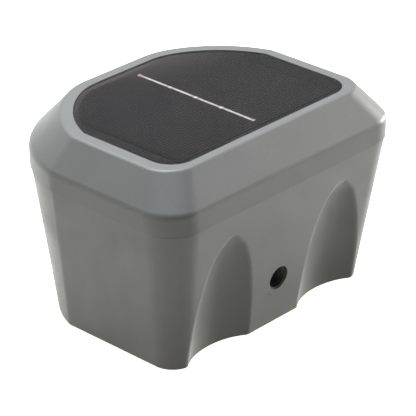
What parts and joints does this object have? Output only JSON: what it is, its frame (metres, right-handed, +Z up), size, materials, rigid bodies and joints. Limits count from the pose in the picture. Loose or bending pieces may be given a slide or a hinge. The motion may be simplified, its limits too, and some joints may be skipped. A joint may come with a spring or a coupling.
{
  "type": "solar fence energizer",
  "caption": "Box-shaped solar fence energizer with a tapered case, finger scoops, a sloped lid holding a solar panel, and rear fence and earth terminals.",
  "frame": {"origin": "bottom centre of the bounding box, on the ground under the middle of the case", "axes": "+Z up; -Y is the flat face with the finger scoops and the round lead hole; +Y is the curved back with the terminals; +X is to the right seen from the front"},
  "size_m": [0.177, 0.14, 0.1122],
  "materials": {
    "case_grey": "fine moulded grain",
    "seal_black": "matt",
    "screw_zinc": "zinc plated",
    "window_clear": "clear, slightly satin",
    "cell_dark": "dark coated silicon",
    "ribbon_tin": "tinned copper",
    "backing_black": "black solder mask",
    "wire_red": "smooth insulation",
    "wire_black": "smooth insulation",
    "connector_white": "moulded nylon",
    "battery_plastic": "moulded",
    "tab_brass": "tinned",
    "foam_black": "closed cell foam",
    "strap_steel": "galvanised",
    "board_green": "solder mask",
    "core_iron": "varnished laminations",
    "coil_copper": "enamelled wire",
    "capacitor_yellow": "moulded",
    "can_black": "sleeved aluminium",
    "device_black": "moulded epoxy",
    "resistor_tan": "lacquered",
    "stud_steel": "stainless",
    "bush_white": "moulded nylon",
    "knob_red": "moulded",
    "knob_green": "moulded",
    "switch_black": "moulded",
    "led_green": "tinted epoxy"
  },
  "bodies": {
    "base": {"base_housing": "case_grey", "lid_gasket": "seal_black", "lid_screws": "screw_zinc", "panel_header": "connector_white", "lead_sleeve": "seal_black", "battery_case": "battery_plastic", "battery_tabs": "tab_brass", "battery_pad": "foam_black", "battery_strap": "strap_steel", "strap_screws": "screw_zinc", "tab_sleeves": "connector_white", "battery_lead_red": "wire_red", "battery_lead_black": "wire_black", "circuit_board": "board_green", "board_screws": "screw_zinc", "transformer_core": "core_iron", "transformer_coil": "coil_copper", "storage_capacitor": "capacitor_yellow", "smoothing_capacitors": "can_black", "switching_device": "device_black", "control_chip": "device_black", "board_resistors": "resistor_tan", "fence_stud": "stud_steel", "earth_stud": "stud_steel", "fence_bush": "bush_white", "earth_bush": "bush_white", "terminal_nuts": "stud_steel", "terminal_lugs": "ribbon_tin", "fence_lead": "wire_red", "earth_lead": "wire_black", "switch_body": "switch_black", "switch_leads": "wire_black", "status_led": "led_green", "led_clip": "switch_black", "led_leads": "ribbon_tin"},
    "lid": {"lid_shell": "case_grey", "panel_window": "window_clear", "solar_cell": "cell_dark", "cell_ribbon": "ribbon_tin", "panel_backing": "backing_black", "panel_seal": "seal_black", "panel_junction": "seal_black", "panel_lead_red": "wire_red", "panel_lead_black": "wire_black", "panel_plug": "connector_white"},
    "fence_clamp": {"fence_washer": "stud_steel"},
    "fence_grip": {"fence_knob": "knob_red"},
    "earth_clamp": {"earth_washer": "stud_steel"},
    "earth_grip": {"earth_knob": "knob_green"},
    "rocker": {"switch_rocker": "switch_black"}
  },
  "joints": [
    {"name": "lid_lift", "type": "slide", "parent": "base", "child": "lid", "axis": [0, 0, 1], "range_m": [0, 0.095]},
    {"name": "fence_clamp_slide", "type": "slide", "parent": "base", "child": "fence_clamp", "axis": [0, 1, 0], "range_m": [0, 0.00401]},
    {"name": "fence_knob_turn", "type": "hinge", "parent": "fence_clamp", "child": "fence_grip", "pos_m": [0.02, 0.0595, 0.03], "axis": [0, 1, 0], "range_deg": [0, 1440]},
    {"name": "earth_clamp_slide", "type": "slide", "parent": "base", "child": "earth_clamp", "axis": [0, 1, 0], "range_m": [0, 0.00401]},
    {"name": "earth_knob_turn", "type": "hinge", "parent": "earth_clamp", "child": "earth_grip", "pos_m": [-0.02, 0.0595, 0.03], "axis": [0, 1, 0], "range_deg": [0, 1440]},
    {"name": "switch_rock", "type": "hinge", "parent": "base", "child": "rocker", "pos_m": [-0.012, 0.0514, 0.052], "axis": [0, 0, 1], "range_deg": [-22, 0]}
  ],
  "couplings": [
    {"joint": "fence_clamp_slide", "follows": "fence_knob_turn", "m_per_rad": 0.00015915},
    {"joint": "earth_clamp_slide", "follows": "earth_knob_turn", "m_per_rad": 0.00015915}
  ]
}
